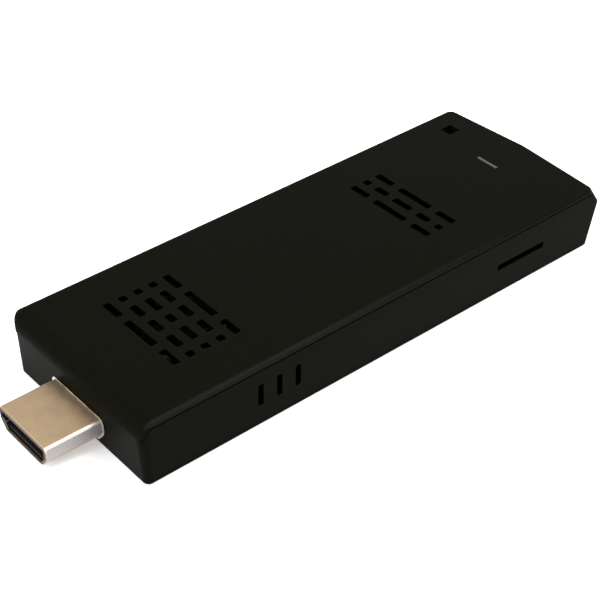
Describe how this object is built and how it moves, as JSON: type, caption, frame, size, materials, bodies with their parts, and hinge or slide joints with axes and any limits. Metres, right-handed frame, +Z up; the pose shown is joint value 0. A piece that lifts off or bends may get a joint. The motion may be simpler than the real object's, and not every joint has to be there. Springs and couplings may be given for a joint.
{
  "type": "stick computer",
  "caption": "Stick computer: flat black case in two shells with a video plug on its end, grilles, a blower, a board, side sockets, a card socket and a power button.",
  "frame": {"origin": "middle of the case's flat underside, halfway between its near end and its far point", "axes": "+Z up, out of the grilled cover; -X along the video plug, the way it goes into a display; -Y is the side with the card slot; +Y is the side with the sockets and the button"},
  "size_m": [0.1137, 0.038, 0.0125],
  "materials": {
    "case_plastic": "fine-textured black moulded plastic",
    "button_plastic": "satin black moulded plastic",
    "light_plastic": "frosted clear plastic",
    "plug_metal": "bright rolled sheet with a warm plating",
    "collar_metal": "satin plated metal",
    "plug_plastic": "black moulded plastic",
    "gold_contact": "gold-plated contact",
    "shell_metal": "plain rolled sheet",
    "port_plastic": "dark grey moulded plastic",
    "spring_metal": "drawn spring wire",
    "board_green": "green solder mask",
    "silicon": "dark polished die package",
    "thermal_pad": "soft grey-blue pad",
    "spreader_metal": "satin rolled sheet",
    "screw_metal": "zinc plated",
    "chip_plastic": "matt moulded resin",
    "ferrite": "grey sintered ferrite",
    "capacitor": "tan ceramic with tinned ends",
    "antenna_metal": "stamped spring bronze",
    "lead_jacket": "black jacket",
    "fan_plastic": "satin dark plastic",
    "shaft_metal": "ground steel",
    "bearing_metal": "sintered bronze",
    "stator_metal": "stacked sheet",
    "coil_metal": "enamelled copper winding",
    "foam": "closed-cell foam",
    "mesh_cloth": "fine black woven mesh",
    "coated_sheet": "black coated sheet"
  },
  "bodies": {
    "case": {"top_cover": "case_plastic", "bottom_case": "case_plastic", "dust_mesh": "mesh_cloth", "light_pipe": "light_plastic", "plug_shell": "plug_metal", "plug_collar": "collar_metal", "plug_core": "plug_plastic", "plug_contacts": "gold_contact", "usb_shell": "shell_metal", "usb_tongue": "port_plastic", "usb_contacts": "gold_contact", "power_port_shell": "shell_metal", "power_port_tongue": "plug_plastic", "power_port_contacts": "gold_contact", "card_socket_base": "plug_plastic", "card_socket_lid": "shell_metal", "card_contacts": "gold_contact", "main_board": "board_green", "processor": "silicon", "thermal_pads": "thermal_pad", "heat_spreader": "spreader_metal", "spreader_bushes": "screw_metal", "spreader_screws": "screw_metal", "board_screws": "screw_metal", "memory_chips": "chip_plastic", "storage_chip": "chip_plastic", "power_chip": "chip_plastic", "firmware_chip": "chip_plastic", "inductors": "ferrite", "crystals": "shell_metal", "capacitors": "capacitor", "resistors": "chip_plastic", "status_lamp": "light_plastic", "switch_body": "plug_plastic", "wireless_board": "board_green", "wireless_chip": "chip_plastic", "wireless_shield": "shell_metal", "antenna_carriers": "port_plastic", "antennas": "antenna_metal", "antenna_plugs": "gold_contact", "antenna_leads": "lead_jacket", "fan_housing": "fan_plastic", "fan_lid": "coated_sheet", "fan_bearing": "bearing_metal", "fan_circuit": "board_green", "fan_stator": "stator_metal", "fan_coils": "coil_metal", "fan_gasket": "foam", "fan_screws": "screw_metal", "fan_header": "port_plastic", "fan_leads": "lead_jacket"},
    "fan_rotor": {"fan_impeller": "fan_plastic", "fan_magnet": "ferrite", "fan_shaft": "shaft_metal"},
    "button": {"power_button": "button_plastic", "switch_plunger": "port_plastic"},
    "card_pusher": {"card_slider": "port_plastic", "card_spring": "spring_metal"}
  },
  "joints": [
    {"name": "fan_spin", "type": "hinge", "parent": "case", "child": "fan_rotor", "pos_m": [-0.03234, 0.0002, 0.0085], "axis": [0, 0, 1], "continuous": true},
    {"name": "button_press", "type": "slide", "parent": "case", "child": "button", "axis": [0, -1, 0], "range_m": [0, 0.00025], "stiffness_N_per_m": 400, "springref_m": -0.0005},
    {"name": "card_push", "type": "slide", "parent": "case", "child": "card_pusher", "axis": [0, 1, 0], "range_m": [0, 0.0014], "stiffness_N_per_m": 150, "springref_m": -0.0005, "deforming": ["card_spring"]}
  ]
}
